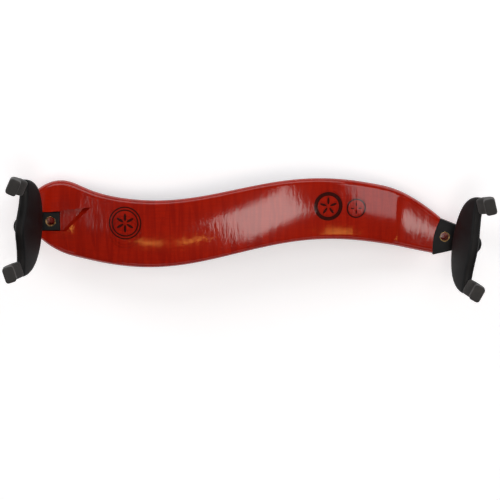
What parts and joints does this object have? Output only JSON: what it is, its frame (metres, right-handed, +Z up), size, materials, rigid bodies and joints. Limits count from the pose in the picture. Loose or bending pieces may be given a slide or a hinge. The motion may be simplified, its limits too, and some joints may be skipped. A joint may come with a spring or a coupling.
{
  "type": "violin shoulder rest",
  "caption": "Arched S-shaped maple shoulder rest with a foam pad and a screw-adjusted fork with rubber-covered fingers at each end.",
  "frame": {"origin": "middle of the object's box, on the surface that its pad rests on", "axes": "+X along the plate from the broad end to the narrow end, +Y across it to its far edge, +Z up to the violin"},
  "size_m": [0.2318, 0.059, 0.0541],
  "materials": {
    "black_nylon": "moulded glass-filled nylon, satin",
    "brass": "turned brass",
    "foam": "closed-cell foam, matt",
    "rubber": "soft rubber tube, matt",
    "steel": "zinc-plated steel",
    "varnished_maple": "maple under a deep red-brown gloss varnish"
  },
  "bodies": {
    "rest": {"plate": "varnished_maple", "foam_pad": "foam", "left_end_block": "black_nylon", "left_block_screw": "steel", "left_insert": "brass", "left_spare_insert": "brass", "right_end_block": "black_nylon", "right_near_block_screw": "steel", "right_far_block_screw": "steel", "right_insert": "brass", "right_spare_insert": "brass"},
    "left_post": {"left_post": "steel"},
    "left_fork": {"left_fork": "black_nylon", "left_far_sleeve": "rubber", "left_near_sleeve": "rubber"},
    "right_post": {"right_post": "steel"},
    "right_fork": {"right_fork": "black_nylon", "right_far_sleeve": "rubber", "right_near_sleeve": "rubber"}
  },
  "joints": [
    {"name": "left_post_lift", "type": "slide", "parent": "rest", "child": "left_post", "axis": [0, 0, 1], "range_m": [-0.0063, 0.0042]},
    {"name": "left_fork_turn", "type": "hinge", "parent": "left_post", "child": "left_fork", "pos_m": [-0.10726, 0.00426, 0.0245], "axis": [0, 0, 1], "range_deg": [-3240, 2160]},
    {"name": "right_post_lift", "type": "slide", "parent": "rest", "child": "right_post", "axis": [0, 0, 1], "range_m": [-0.0063, 0.0042]},
    {"name": "right_fork_turn", "type": "hinge", "parent": "right_post", "child": "right_fork", "pos_m": [0.10611, -0.00413, 0.0245], "axis": [0, 0, 1], "range_deg": [-3240, 2160]}
  ],
  "couplings": [
    {"joint": "left_post_lift", "follows": "left_fork_turn", "m_per_rad": 0.00011141},
    {"joint": "right_post_lift", "follows": "right_fork_turn", "m_per_rad": 0.00011141}
  ]
}
